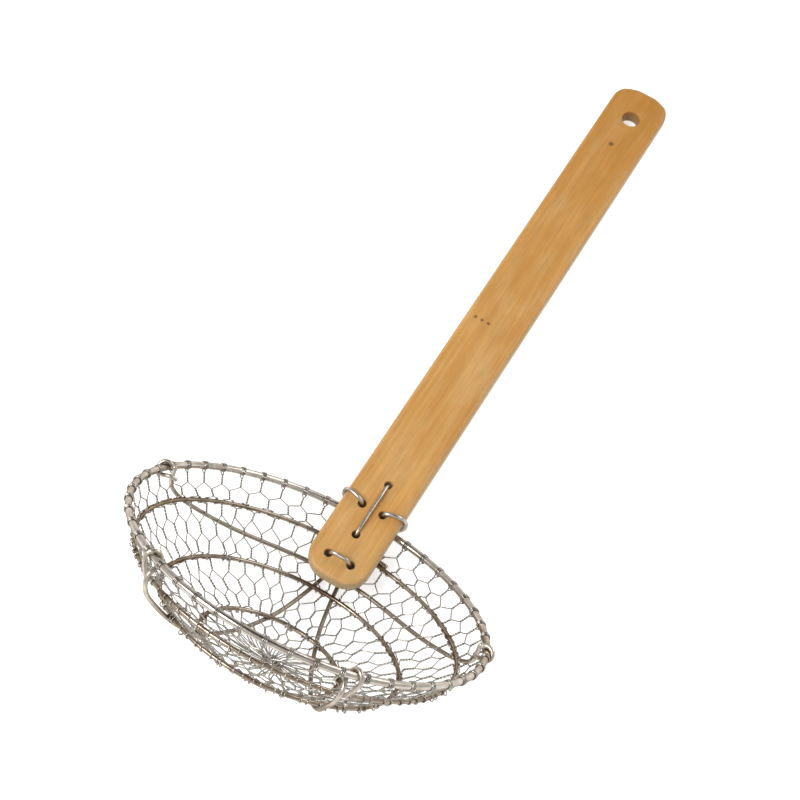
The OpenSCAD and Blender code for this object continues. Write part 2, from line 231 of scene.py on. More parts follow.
# ---- materials ----
class Nodes:
    """Short names for making a material's nodes and links."""

    def __init__(self, name):
        self.material = bpy.data.materials.new(name)
        self.material.use_nodes = True
        self.tree = self.material.node_tree
        self.shader = self.tree.nodes["Principled BSDF"]
        self.place = self.add("ShaderNodeTexCoord").outputs["Object"]

    def add(self, kind, **settings):
        made = self.tree.nodes.new(kind)
        for key, value in settings.items():
            setattr(made, key, value)
        return made

    def join(self, source, target):
        self.tree.links.new(source, target)

    def mapped(self, scale, location=(0, 0, 0), rotation=(0, 0, 0), source=None):
        mapping = self.add("ShaderNodeMapping")
        mapping.inputs["Location"].default_value = location
        mapping.inputs["Rotation"].default_value = rotation
        mapping.inputs["Scale"].default_value = scale
        self.join(source or self.place, mapping.inputs["Vector"])
        return mapping.outputs["Vector"]

    def noise(self, place, scale, detail=3.0, roughness=0.5):
        made = self.add("ShaderNodeTexNoise")
        made.inputs["Scale"].default_value = scale
        made.inputs["Detail"].default_value = detail
        made.inputs["Roughness"].default_value = roughness
        self.join(place, made.inputs["Vector"])
        return made.outputs["Fac"]

    def ramp(self, value, *stops):
        made = self.add("ShaderNodeValToRGB")
        ramp = made.color_ramp
        while len(ramp.elements) < len(stops):
            ramp.elements.new(0.5)
        for element, (position, colour) in zip(ramp.elements, stops):
            element.position = position
            element.color = (*colour, 1) if len(colour) == 3 else colour
        self.join(value, made.inputs["Fac"])
        return made.outputs["Color"]

    def spread(self, value, low, high, to_low=0.0, to_high=1.0):
        made = self.add("ShaderNodeMapRange", clamp=True)
        for key, number in (("From Min", low), ("From Max", high), ("To Min", to_low), ("To Max", to_high)):
            made.inputs[key].default_value = number
        self.join(value, made.inputs["Value"])
        return made.outputs["Result"]

    def math(self, operation, a, b=None):
        made = self.add("ShaderNodeMath", operation=operation)
        for socket, value in zip(made.inputs, (a, b)):
            if isinstance(value, (int, float)):
                socket.default_value = value
            elif value is not None:
                self.join(value, socket)
        return made.outputs["Value"]

    def mix(self, share, a, b, blend="MIX"):
        made = self.add("ShaderNodeMix", data_type="RGBA", blend_type=blend)
        for socket, value in ((made.inputs["Factor"], share), (made.inputs["A"], a), (made.inputs["B"], b)):
            if isinstance(value, (int, float)):
                socket.default_value = value
            elif isinstance(value, tuple):
                socket.default_value = (*value, 1)
            else:
                self.join(value, socket)
        return made.outputs["Result"]

    def bump(self, height, distance, strength=1.0):
        made = self.add("ShaderNodeBump")
        made.inputs["Distance"].default_value = distance
        made.inputs["Strength"].default_value = strength
        self.join(height, made.inputs["Height"])
        self.join(made.outputs["Normal"], self.shader.inputs["Normal"])


EDGE_TINT = (0.30, 0.26, 0.22, 1)


def local_place(n, to_row):
    """The place in a frame of its own, given the matrix that leads from there to the row's frame."""
    back, turn, size = to_row.inverted().decompose()
    parts = n.add("ShaderNodeSeparateXYZ")
    place = n.mapped(tuple(size), tuple(back), tuple(turn.to_euler()))
    n.join(place, parts.inputs["Vector"])
    return place, parts.outputs


def metal(name, bright, dull, film, film_share, roughness, shade_under_bowl=0.0):
    """Drawn steel wire: a clean colour, a duller one in patches, and a film of brown.

    The last argument is the least share of the brown film where a wire runs through the bowl or under it:
    painted shade there, in the film's colour.
    """
    n = Nodes(name)
    patches = n.spread(n.noise(n.place, 160, 4, 0.6), 0.35, 0.65)
    stains = n.noise(n.mapped((1, 1, 1), (3.1, 1.7, 0.4)), 45, 5, 0.65)
    stain_and_shade = n.spread(stains, 0.62 - film_share, 0.8 - film_share)
    if shade_under_bowl:
        # Painted shade: wires low in the bowl and under it, towards the handle's side, take on the brown
        # film.
        x, _, z = local_place(n, TO_ROW)[1]
        under = n.math("MULTIPLY", n.spread(x, -60, 0), n.spread(z, -8, -22))
        stain_and_shade = n.math("MAXIMUM", stain_and_shade, n.math("MULTIPLY", under, shade_under_bowl))
    n.join(n.mix(stain_and_shade, n.mix(patches, bright, dull), film), n.shader.inputs["Base Color"])
    n.shader.inputs["Metallic"].default_value = 1.0
    n.shader.inputs["Specular Tint"].default_value = EDGE_TINT
    grain = n.math("MULTIPLY", n.noise(n.place, 420, 2), 0.14)
    rough = n.math("ADD", grain, n.math("MULTIPLY", stain_and_shade, 0.12))
    n.join(n.math("ADD", rough, roughness - 0.08), n.shader.inputs["Roughness"])
    n.bump(n.noise(n.place, 700, 2, 0.5), 0.00003, 0.04)
    return n.material


RIM_METAL = metal("rim_metal", (0.61, 0.56, 0.50), (0.44, 0.39, 0.34), (0.20, 0.15, 0.12), 0.0, 0.22)
FRAME_METAL = metal("frame_metal", (0.42, 0.35, 0.28), (0.29, 0.24, 0.18), (0.13, 0.09, 0.065), 0.14, 0.25)
# The spokes and the cross wire get painted shade where they run under the bowl.
SPOKE_METAL = metal("spoke_metal", (0.58, 0.53, 0.46), (0.42, 0.37, 0.31), (0.20, 0.15, 0.11), 0.04, 0.31,
                    shade_under_bowl=0.65)
NET_METAL = metal("net_metal", (0.46, 0.435, 0.39), (0.33, 0.305, 0.27), (0.27, 0.23, 0.19), 0.06, 0.27)
STAPLE_METAL = metal("staple_metal", (0.63, 0.56, 0.48), (0.50, 0.43, 0.36), (0.27, 0.21, 0.16), 0.02, 0.30)

LACE_HOLES = ((LACE_S, LACE_Y), (LACE_S, -LACE_Y), (STAPLE_OUT_S, 0), (STAPLE_IN_S, 0),
              (TIP_LACE_S, TIP_LACE_Y), (TIP_LACE_S, -TIP_LACE_Y))
# Plain burnt dots, as (s, y, radius): three in a row halfway along, and one near the hanging hole.
ROW_S, ROW_Y, ROW_STEP, ROW_DOT_RADIUS = 151, 4, 5, 1.1
DOTS = tuple((ROW_S, ROW_Y + ROW_STEP * i, ROW_DOT_RADIUS) for i in range(3)) + ((HANG_S - 28, 2, 1.7),)
# How far the edges of the scorch marks stray.
RAGGED = 0.8


def near(n, along, across, s, y, inner, outer):
    """One within an inner distance of a place on the handle, and nought beyond an outer one."""
    ds, dy = n.math("SUBTRACT", along, s), n.math("SUBTRACT", across, y)
    square = n.math("ADD", n.math("MULTIPLY", ds, ds), n.math("MULTIPLY", dy, dy))
    return n.spread(n.math("SQRT", square), inner, outer, 1.0, 0.0)


def burnt(n, along, across):
    """Where the handle is scorched: round the drilled holes, and at the dots."""
    ragged = n.math("ADD", along, n.math("MULTIPLY", n.noise(n.place, 900, 2), RAGGED))
    total = None
    places = [(s, y, LACE_HOLE_RADIUS - 0.3, LACE_HOLE_RADIUS + 0.7, 0.72) for s, y in LACE_HOLES]
    places += [(HANG_S, 0, HANG_HOLE_RADIUS - 0.1, HANG_HOLE_RADIUS + 0.6, 0.35)]
    places += [(s, y, radius * 0.6, radius * 1.5, 0.72) for s, y, radius in DOTS]
    for s, y, inner, outer, depth in places:
        here = n.math("MULTIPLY", near(n, ragged, across, s + RAGGED / 2, y, inner, outer), depth)
        total = here if total is None else n.math("MAXIMUM", total, here)
    return total


def bamboo_tone(n, local, s, y, bands):
    """The colour along and across the handle: bands, a warm far end, a pale tip, clouds and mottles."""
    tone = n.ramp(bands, (0.3, (0.46, 0.215, 0.047)), (0.5, (0.52, 0.262, 0.065)),
                  (0.72, (0.58, 0.315, 0.092)))
    far = n.spread(s, 140, 400)
    tone = n.mix(n.math("MULTIPLY", far, 0.84), tone, (0.405, 0.158, 0.006))
    tone = n.mix(n.math("MULTIPLY", n.spread(s, -15, -60), 0.25), tone, (0.61, 0.39, 0.165))
    side = n.math("MULTIPLY", n.spread(y, 2, 21), 0.3)
    tone = n.mix(side, tone, (0.50, 0.235, 0.05))
    clouds = n.noise(n.mapped((0.022, 0.06, 0.05), (1, 7, 3), source=local), 1.0, 4, 0.6)
    pale = n.math("MULTIPLY", n.spread(clouds, 0.46, 0.70), n.spread(far, 0, 1, 0.50, 0.10))
    tone = n.mix(pale, tone, (0.61, 0.39, 0.165))
    mottle = n.noise(n.mapped((0.05, 0.13, 0.1), (2, 9, 6), source=local), 1.0, 4, 0.65)
    return n.mix(n.math("MULTIPLY", n.spread(mottle, 0.50, 0.68), 0.30), tone, (0.40, 0.27, 0.10))


def bamboo_marks(n, local, s, y, d, fibres, tone):
    """The fibres, the dark specks, the darker sides and underside (partly their own duller colour, partly
    painted shade) and the scorch marks, over a tone.
    """
    streaks = n.ramp(fibres, (0.28, (0.84, 0.79, 0.70)), (0.5, (1, 1, 1)), (0.75, (1, 1, 1)))
    tone = n.mix(0.55, tone, streaks, "MULTIPLY")
    grain = n.noise(n.mapped((0.025, 0.5, 0.5), (3, 8, 1), source=local), 1.0, 5, 0.7)
    tone = n.mix(1.0, tone, n.spread(grain, 0.34, 0.66, 0.88, 1.10), "MULTIPLY")
    specks = n.noise(n.mapped((0.25, 1.0, 1.0), (9, 4, 2), source=local), 1.1, 2, 0.5)
    tone = n.mix(n.math("MULTIPLY", n.spread(specks, 0.73, 0.77), 0.4), tone, (0.25, 0.12, 0.04))
    # Partly painted shade: all below the top face's rounded edge, the sides and the underside, is darkened
    # towards a duller colour.
    sides_and_shade = n.math("MULTIPLY", n.spread(d, -0.5, -2.2), 0.64)
    in_hole = near(n, s, y, HANG_S, 0, HANG_HOLE_RADIUS + 0.3, HANG_HOLE_RADIUS + 1)
    tone = n.mix(sides_and_shade, tone, n.mix(in_hole, (0.30, 0.24, 0.13), (0.36, 0.20, 0.05)))
    return n.mix(burnt(n, s, y), tone, (0.060, 0.024, 0.009))


def bamboo():
    """Bare bamboo: fibres along the handle, a warmer tone towards its far end, and scorched holes."""
    n = Nodes("bamboo")
    handle_tilt = Matrix.Rotation(math.radians(-HANDLE_TILT), 4, "Y")
    local, (s, y, d) = local_place(n, TO_ROW @ Matrix.Translation(handle_point(0, 0, 0)) @ handle_tilt)
    fibres = n.noise(n.mapped((0.010, 1.0, 1.0), source=local), 2.6, 6, 0.7)
    bands = n.noise(n.mapped((0.005, 0.13, 0.2), (5, 2, 1), source=local), 1.0, 4, 0.55)
    tone = bamboo_marks(n, local, s, y, d, fibres, bamboo_tone(n, local, s, y, bands))
    n.join(tone, n.shader.inputs["Base Color"])
    n.join(n.spread(fibres, 0.3, 0.7, 0.54, 0.44), n.shader.inputs["Roughness"])
    n.shader.inputs["Coat Weight"].default_value = 0.03
    n.shader.inputs["Coat Roughness"].default_value = 0.4
    n.bump(n.math("ADD", fibres, n.math("MULTIPLY", bands, 0.6)), 0.00018, 0.5)
    return n.material


# ---- rim, hoops and the wires tied to them ----
def ring(radius, z, thickness, sides, points, unevenness):
    """A closed hoop of wire, a little out of true."""
    path = []
    for i in range(points):
        az = 360 * i / points
        around = Vector((cos(az), sin(az), z * 0.1))
        r = radius + unevenness * noise.noise(around * 1.7)
        lift = unevenness * noise.noise(around * 2.3 + Vector((5, 5, 5)))
        path.append((r * cos(az), r * sin(az), z + lift))
    return tube(path, thickness, sides, closed=True, wobble=0.01)


def hoop(angle):
    return ring(HOOP_SPHERE * sin(angle), SPHERE_Z - HOOP_SPHERE * cos(angle), FRAME_WIRE, 16, 240, 0.25)


def hoop_end():
    """The upper hoop's overlapping end, which lies against it on the side of the rim."""
    polar = UPPER_ANGLE + math.degrees((FRAME_WIRE + 0.05) / HOOP_SPHERE)
    return tube([bowl_point(HOOP_SPHERE, polar, az) for az in range(-14, 9)], FRAME_WIRE, 16)


def make_rim_and_hoops():
    piece("rim_of_wire", [ring(RIM_RADIUS, 0, RIM_WIRE, 24, 288, 0.0)], RIM_METAL, "rim_wire", "rim_hoop")
    for name, parts in (("upper_hoop", [hoop(UPPER_ANGLE), hoop_end()]),
                        ("middle_hoop", [hoop(MIDDLE_ANGLE)]),
                        ("lower_hoop", [hoop(LOWER_ANGLE)])):
        piece(name + "_of_wire", parts, FRAME_METAL, "frame_wire", name)


COIL_REACH = (RIM_WIRE / 2 + FRAME_WIRE / 2 + 0.05) * 1.12
COIL_HALF = 1.85
CROSS_AZ = 10.5 * PITCH
CROSS_POLAR = 41.4
SPOKE_AZ = 19.5 * PITCH
SPOKE_Y = 4.4
LEFT_TURN_Y, RIGHT_TURN_Y = 6.6, 4.4
SPOKE_TURN_X = 79


def flipped(path):
    return [np.array([p[0], -p[1], p[2]]) for p in path]


def coil(az, turn_from, turn_step):
    """A wire's turn round the rim, as six corners that the smoothing rounds off."""
    return [round_rim(az + COIL_HALF * (0.4 * i - 1), COIL_REACH, turn_from + turn_step * i)
            for i in range(6)]


def cross_wire_path():
    """The wire across the bowl under the handle's tip, with a coil on the rim at both its ends."""
    half = [bowl_point(SPOKE_SPHERE if az > 52 else HOOP_SPHERE, CROSS_POLAR + 9.6 * (az / 69) ** 4.1, az)
            for az in range(0, 66, 13)]
    half += [bowl_point(SPOKE_SPHERE, 52, 71.2), bowl_point(SPOKE_SPHERE - 1, 54.5, 73.8),
             bowl_point(SPHERE_RADIUS - 1.5, 56.8, CROSS_AZ - COIL_HALF - 0.8),
             bowl_point(SPHERE_RADIUS - 5.6, 59.2, CROSS_AZ - COIL_HALF)]
    half += coil(CROSS_AZ, 160, -52)
    half += [bowl_point(SPHERE_RADIUS - 5.2, 57.2, CROSS_AZ + COIL_HALF),
             bowl_point(SPHERE_RADIUS - 8.4, 55.8, CROSS_AZ + COIL_HALF - 1.4)]
    return half[:0:-1] + flipped(half)[:-1]


def spoke_path(turn_y):
    """The left spoke: coiled on the far rim, led under the bowl and looped over the handle's edge."""
    start = RIM_RADIUS * np.array([cos(SPOKE_AZ), sin(SPOKE_AZ)])
    turn = np.array([SPOKE_TURN_X, turn_y])
    side = HANDLE_WIDTH / 2 + FRAME_WIRE / 2 + 0.3
    top = FRAME_WIRE / 2 + 0.3
    path = [bowl_point(SPHERE_RADIUS + 6, 53.5, SPOKE_AZ - COIL_HALF + 1),
            bowl_point(SPHERE_RADIUS + 5.5, 57, SPOKE_AZ - COIL_HALF + 0.3)]
    path += coil(SPOKE_AZ, -10, 54)
    path += [bowl_point(SPHERE_RADIUS + 8, 56.8, SPOKE_AZ + COIL_HALF),
             bowl_point(SPHERE_RADIUS + 11, 52.5, SPOKE_AZ + COIL_HALF),
             bowl_point(SPHERE_RADIUS + 8.2, 47, SPOKE_AZ + COIL_HALF - 0.6)]
    path += [under_bowl(*(start * (1 - i / 9) + turn * i / 9), SPOKE_SPHERE) for i in range(2, 9)]
    path += [under_bowl(SPOKE_SPHERE * sin(polar), SPOKE_Y, SPOKE_SPHERE) for polar in range(41, 60, 6)]
    path += [handle_point(RIM_FOOT + 1, 8.5, -18.4), handle_point(RIM_FOOT + 4, 17, -16.5),
             handle_point(RIM_FOOT + 6.5, side, -11), handle_point(RIM_FOOT + 7, side, -3),
             handle_point(RIM_FOOT + 6, side - 3.4, top + 1), handle_point(RIM_FOOT + 4.4, 14, top + 1.9),
             handle_point(LACE_S + 0.6, 9, top + 1.3), handle_point(LACE_S, LACE_Y, -0.5),
             handle_point(LACE_S, LACE_Y, -6)]
    return path


RIM_STAPLE_WIRE, TIP_STAPLE_WIRE = 2.3, 2.6
RIM_STAPLE_SHIFT = 1.75
TIP_STAPLE_RISE = 3.4


def rim_staple_path():
    """The staple along the handle: two legs through it, bent round the rim below on opposite sides."""
    under = -HANDLE_THICKNESS - 0.1 - RIM_WIRE - 0.75 - RIM_STAPLE_WIRE / 2 - 0.3
    shift = RIM_STAPLE_SHIFT
    top = RIM_STAPLE_WIRE / 2 + 0.15
    below = -HANDLE_THICKNESS - 1.2
    half_deep = -HANDLE_THICKNESS / 2
    return [handle_point(RIM_FOOT + 5.5, shift, under + 1),
            handle_point(RIM_FOOT - 2, shift, under),
            handle_point(RIM_FOOT - 9, shift, under + 2.6),
            handle_point(STAPLE_IN_S, 0.6, below),
            handle_point(STAPLE_IN_S, 0, half_deep),
            handle_point(STAPLE_IN_S + 0.3, 0, top + 0.2),
            handle_point((STAPLE_IN_S + STAPLE_OUT_S) / 2, 0, top + 0.4),
            handle_point(STAPLE_OUT_S - 0.3, 0, top + 0.2),
            handle_point(STAPLE_OUT_S, 0, half_deep),
            handle_point(STAPLE_OUT_S, -0.6, below),
            handle_point(RIM_FOOT + 9, -shift, under + 2.6),
            handle_point(RIM_FOOT + 2, -shift, under),
            handle_point(RIM_FOOT - 4, -shift, under + 0.4)]


def tip_staple_path():
    """The staple across the handle's tip, whose legs hook under the cross wire."""
    hook = HOOP_SPHERE + FRAME_WIRE / 2 + TIP_STAPLE_WIRE / 2 + 0.05
    y = TIP_LACE_Y
    top = TIP_STAPLE_WIRE / 2 + TIP_STAPLE_RISE
    half = [handle_point(TIP_LACE_S, 0, top), handle_point(TIP_LACE_S, y - 2, top),
            handle_point(TIP_LACE_S, y, -HANDLE_THICKNESS / 2),
            handle_point(TIP_LACE_S - 1.4, y, -HANDLE_THICKNESS - 4),
            under_bowl((SPHERE_RADIUS + 1) * sin(CROSS_POLAR - 2.6), y, SPHERE_RADIUS + 0.5),
            under_bowl(hook * sin(CROSS_POLAR - 1), y, hook),
            under_bowl(hook * sin(CROSS_POLAR + 2.2), y, hook)]
    return half[:0:-1] + flipped(half)


def make_tied_wires():
    right_spoke = flipped(spoke_path(RIGHT_TURN_Y))
    for name, path, thickness, material, slot in (
            ("cross_wire", cross_wire_path(), FRAME_WIRE, SPOKE_METAL, "frame_wire"),
            ("left_spoke", spoke_path(LEFT_TURN_Y), FRAME_WIRE, SPOKE_METAL, "frame_wire"),
            ("right_spoke", right_spoke, FRAME_WIRE, SPOKE_METAL, "frame_wire"),
            ("rim_staple", rim_staple_path(), RIM_STAPLE_WIRE, STAPLE_METAL, "rim_wire"),
            ("tip_staple", tip_staple_path(), TIP_STAPLE_WIRE, STAPLE_METAL, "rim_wire")):
        wire = tube(smooth(path, 4), thickness, 16, wobble=0.006)
        piece(name + "_bent", [wire], material, slot, name)


# ---- net ----
SECTOR_SPAN = 360 / SECTORS
# The bands of cells start a little below the rim, and the first twists start there too.
RIM_TWIST_ANGLE, FIRST_TWIST_DROP = 1.8, 1.9
CELLS_END_ANGLE = math.degrees(math.asin(CELLS_END_RADIUS / SPHERE_RADIUS))
# Each band has its top and bottom angle, its rows of cells and its twists per sector.
BANDS = ((RIM_ANGLE - RIM_TWIST_ANGLE, UPPER_ANGLE, 2, 4), (UPPER_ANGLE, MIDDLE_ANGLE, 3, 4),
         (MIDDLE_ANGLE, LOWER_ANGLE, 3, 3), (LOWER_ANGLE, CELLS_END_ANGLE, 2, 2))
# Where the strands of one sector go on below a hoop, as (column, way). The others end there.
ALL_ON = {(column, way): (column, way) for column in range(4) for way in (-1, 1)}
GOES_ON = (ALL_ON,
           {(0, -1): (0, -1), (1, -1): (0, 1), (1, 1): (1, -1),
            (2, -1): (1, 1), (2, 1): (2, -1), (3, -1): (2, 1)},
           {(0, -1): (0, -1), (1, -1): (0, 1), (1, 1): (1, -1), (2, 1): (1, 1)})
MM_PER_DEGREE = SPHERE_RADIUS * math.radians(1)
TWIST_TURNS, TWIST_STEPS = 2, 20
COLLAR_TURNS = 3
COLLAR_SPACING = 1.25
COLLAR_FIRST_TURN = 262
COLLAR_REACH = RIM_WIRE / 2 + NET_WIRE / 2 + 0.03
HOOP_OUT = HOOP_SPHERE - SPHERE_RADIUS
WRAP_REACH = (FRAME_WIRE + NET_WIRE) / 2 + 0.08
# How far the slackest wires stand off a hoop and slant along it, and how far round it they start.
WRAP_LOOSE, WRAP_SLANT = 1.4, 1.4
HOOP_TURN, HOOP_TURN_STEP = 120, 15
# How far off centre the knot was pulled.
KNOT_SHIFT = np.array([1.2, -3.6, 0])
# The radii at which the net wires end in the knot, and how they are led there.
KNOT_REACHES = (7.2, 4.6)
LEAD_STEPS, LEAD_SWIRL = 14, 16


def level(band, step):
    """How far down the bowl a place in a band lies, in degrees from its axis."""
    top, bottom, rows, _ = BANDS[band]
    ratio = tan(bottom / 2) / tan(top / 2)
    return 2 * math.degrees(math.atan(tan(top / 2) * ratio ** (step / rows)))


def strayed(az, polar, room):
    """How far a twist's end strays from its place, (across, down), in millimetres."""
    v = noise.noise_vector(Vector((4.1 * cos(az), 4.1 * sin(az), 0.23 * polar)))
    return 0.30 * room * v[0], 0.22 * room * v[1]


def twists_of(wire, way):
    """The twists that one leg of a net wire takes part in, from the rim down.

    Each is (band, azimuth, side, top, bottom): the side is which strand of the twist this one is.
    """
    sector, column = divmod(wire, WIRES_PER_SECTOR)
    start = sector * SECTOR_SPAN - PITCH / 2
    found = []
    for band, (_, _, rows, columns) in enumerate(BANDS):
        width = SECTOR_SPAN / columns
        for row in range(rows):
            odd = row % 2
            az = start + (column + 0.5 + (way / 2 if odd else 0)) * width
            side = -way if odd else way
            top = RIM_ANGLE - FIRST_TWIST_DROP if band == row == 0 else level(band, row + TWIST_FROM)
            found.append((band, az, side, top, level(band, row + TWIST_TO)))
        if band < len(GOES_ON):
            if (column, way) not in GOES_ON[band]:
                break
            column, way = GOES_ON[band][(column, way)]
    return found


class Strand:
    """The points of one strand of the net, as it is led down the bowl."""

    def __init__(self):
        self.points = []

    def put(self, polar, az, across, out):
        rho = SPHERE_RADIUS + out
        self.points.append(bowl_point(rho, polar, az + math.degrees(across / (rho * sin(polar)))))

    def twist(self, az, side, top, bottom, room):
        """Full turns with a neighbour, whose azimuth and levels stray a little."""
        here, there = strayed(az, top, room), strayed(az, bottom, room)
        reach = side * NET_WIRE / 2 * 1.04
        for i in range(TWIST_STEPS + 1):
            t = i / TWIST_STEPS
            across, down = [here[k] + (there[k] - here[k]) * t for k in (0, 1)]
            angle = 360 * TWIST_TURNS * t
            self.put(top + (bottom - top) * t + down / MM_PER_DEGREE, az,
                     reach * cos(angle) + across, reach * sin(angle))

    def pass_hoop(self, hoop_angle, az, last_turn):
        """Goes round the outside of a hoop, turn 0 being furthest out. Some hang slack and slanting."""
        slack = min(1, max(0, 2.2 * noise.noise(Vector((az * 0.9, hoop_angle, 0.5)))))
        for turn in range(-HOOP_TURN, last_turn + 1, HOOP_TURN_STEP):
            polar = hoop_angle - WRAP_REACH * sin(turn) / MM_PER_DEGREE
            reach = WRAP_REACH + WRAP_LOOSE * slack * max(0, cos(turn))
            across = (0.2 + WRAP_SLANT * slack) * turn / HOOP_TURN
            self.put(polar, az, across, HOOP_OUT + reach * cos(turn))

    def curl(self, hoop_angle, az):
        """A cut end, which stands a little off the outside of the hoop."""
        for step in (1, 2, 3):
            self.put(hoop_angle - (WRAP_REACH + 0.3 * step) / MM_PER_DEGREE, az, 0.35 * step,
                     HOOP_OUT + 0.2 * step)


def polar_and_az(point):
    x, y, z = point
    return math.degrees(math.atan2(math.hypot(x, y), SPHERE_Z - z)), math.degrees(math.atan2(y, x))


def at_hoop(strand, following, hoop_angle):
    """Leads a strand round the outside of a hoop, where it goes on or ends."""
    polar, az = polar_and_az(strand.points[-1])
    if following is None:
        strand.pass_hoop(hoop_angle, az, HOOP_TURN - 45)
        strand.curl(hoop_angle, az)
        return
    az_gap = (following[1] - az + 180) % 360 - 180
    share = (hoop_angle - polar) / (following[3] - polar)
    strand.pass_hoop(hoop_angle, az + az_gap * share, HOOP_TURN)


def net_leg(wire, way):
    """One leg of a net wire, from under the rim to where it ends or to the knot."""
    strand = Strand()
    twists = twists_of(wire, way)
    for i, (band, az, side, top, bottom) in enumerate(twists):
        room = SPHERE_RADIUS * sin(top) * math.radians(SECTOR_SPAN / BANDS[band][3])
        strand.twist(az, side, top, bottom, room if i else 0)
        following = twists[i + 1] if i + 1 < len(twists) else None
        last_of_band = following is None or following[0] != band
        if last_of_band and band < len(GOES_ON):
            at_hoop(strand, following, BANDS[band][1])
    if len(twists) == sum(band[2] for band in BANDS):
        lead_to_knot(strand, twists[-1])
    return strand.points


def lead_to_knot(strand, last_twist):
    """A single wire on from its last twist, swirling a little as it nears the knot."""
    _, az, side, _, bottom = last_twist
    inner = KNOT_REACHES[round(az) % 2]
    start = SPHERE_RADIUS * sin(bottom)
    own_az = az + side * PITCH / 2
    for i in range(1, LEAD_STEPS + 1):
        t = i / LEAD_STEPS
        radius = start + (inner - start) * t
        wave = 0.5 * noise.noise(Vector((own_az * 0.7, t * 3, 2.5)))
        fan = min(1, t * 2.4)
        strand.put(math.degrees(math.asin(radius / SPHERE_RADIUS)),
                   az + side * fan * PITCH / 2 + LEAD_SWIRL * t * t,
                   side * NET_WIRE / 2 * (1 - fan) + wave, 0.5 * math.sin(own_az) * fan)
        strand.points[-1] += KNOT_SHIFT * t * t


def collar(wire):
    """The turns of a net wire round the rim, from one leg's start to the other's."""
    az = wire * PITCH
    lean = 0.12 * noise.noise(Vector((wire * 1.9, 0, 0)))
    half = math.degrees((COLLAR_TURNS * NET_WIRE * COLLAR_SPACING / 2) / RIM_RADIUS)
    count = 14 * COLLAR_TURNS
    points = []
    for i in range(count + 1):
        turn = COLLAR_FIRST_TURN - 360 * COLLAR_TURNS * i / count
        points.append(round_rim(az + half * (1 - 2 * i / count) + lean, COLLAR_REACH, turn))
    return points


def densified(path, step):
    """The same path with points added, so that none are further apart than a step."""
    points = [path[0]]
    for a, b in zip(path, path[1:]):
        pieces = max(1, math.ceil(np.linalg.norm(b - a) / step))
        points += [a + (b - a) * i / pieces for i in range(1, pieces + 1)]
    return points


def make_net():
    for sector in range(SECTORS):
        parts = []
        for wire in range(sector * WIRES_PER_SECTOR, (sector + 1) * WIRES_PER_SECTOR):
            path = net_leg(wire, 1)[::-1] + collar(wire) + net_leg(wire, -1)
            parts.append(tube(soften(densified(path, 0.7), 2), NET_WIRE, 7))
        name = f"net_sector_{sector + 1:02d}"
        piece(name.replace("net", "twisted"), parts, NET_METAL, "net_wire", name)


def loose_ring(radius, out, seed):
    """A binding wire of the knot, bent round by hand."""
    path = []
    for i in range(96):
        az = 360 * i / 96
        r = radius + 0.35 * noise.noise(Vector((cos(az), sin(az), seed)) * 2)
        polar = math.degrees(math.asin(r / SPHERE_RADIUS))
        path.append(bowl_point(SPHERE_RADIUS + out, polar, az) + KNOT_SHIFT)
    return tube(path, NET_WIRE, 8, closed=True)


def knot_spiral():
    """The wire wound inwards at the middle of the knot."""
    turns, count = 5, 150
    path = []
    for i in range(count):
        t = i / count
        polar = math.degrees(math.asin((5.6 - 4.8 * t) / SPHERE_RADIUS))
        path.append(bowl_point(SPHERE_RADIUS - 0.3 + 0.9 * t * t, polar, 360 * turns * t) + KNOT_SHIFT)
    return tube(path, NET_WIRE, 8)


def raised_loop(az, reach):
    """A wire end bent up out of the knot and back into it."""
    foot = bowl_point(SPHERE_RADIUS - 0.4, 0, 0) + KNOT_SHIFT
    out = np.array([cos(az), sin(az), 0])
    path = [foot + out * (2.6 + reach * (1 - cos(turn)) / 2) + np.array([0, 0, reach * sin(turn)])
            for turn in range(0, 181, 12)]
    return tube(path, NET_WIRE, 8)


def make_knot():
    parts = [loose_ring(radius, out, seed)
             for radius, out, seed in ((6.8, -0.8, 1), (6.2, 0.9, 4), (4.6, -0.9, 2))]
    parts.append(knot_spiral())
    parts += [raised_loop(az, reach) for az, reach in ((200, 3.4), (250, 2.6), (20, 2.4))]
    piece("knot_of_wires", parts, NET_METAL, "net_wire", "net_knot")


# ---- handle ----
def outline():
    """The handle's outline from above, as (anchor, radius, direction) for each of its points.

    Drawn in by an inset, a point lies at anchor + (radius - inset) * direction.
    """
    half = HANDLE_WIDTH / 2
    corner_steps, side_steps = 16, 60
    points = []
    for end_s, way, radius in ((END_S, 1, FAR_CORNER), (TIP_S, -1, TIP_CORNER)):
        for part in (0, 1):
            first = (-90 if way > 0 else 90) + 90 * part
            y_way = -way if part == 0 else way
            anchor = (end_s - way * radius, y_way * (half - radius))
            for i in range(corner_steps + 1):
                turn = first + 90 * i / corner_steps
                points.append((anchor, radius, (cos(turn), sin(turn))))
        from_s, to_s = end_s - way * radius, (TIP_S + TIP_CORNER if way > 0 else END_S - FAR_CORNER)
        for i in range(1, side_steps):
            s = from_s + (to_s - from_s) * i / side_steps
            points.append(((s, way * (half - radius)), radius, (0, way)))
    return points


def drawn_in(corner, inset):
    """Where a point of the outline lies once it is drawn in, with the far end's bulge."""
    (s, y), radius, way = corner
    y += (radius - inset) * way[1]
    bulge = END_S - END_CROWN + math.sqrt((END_CROWN - inset) ** 2 - y * y)
    return min(s + (radius - inset) * way[0], bulge), y


# Each face is one flat polygon, drawn in by this much from where the rounded edge ends.
FACE_INSET = 3.5


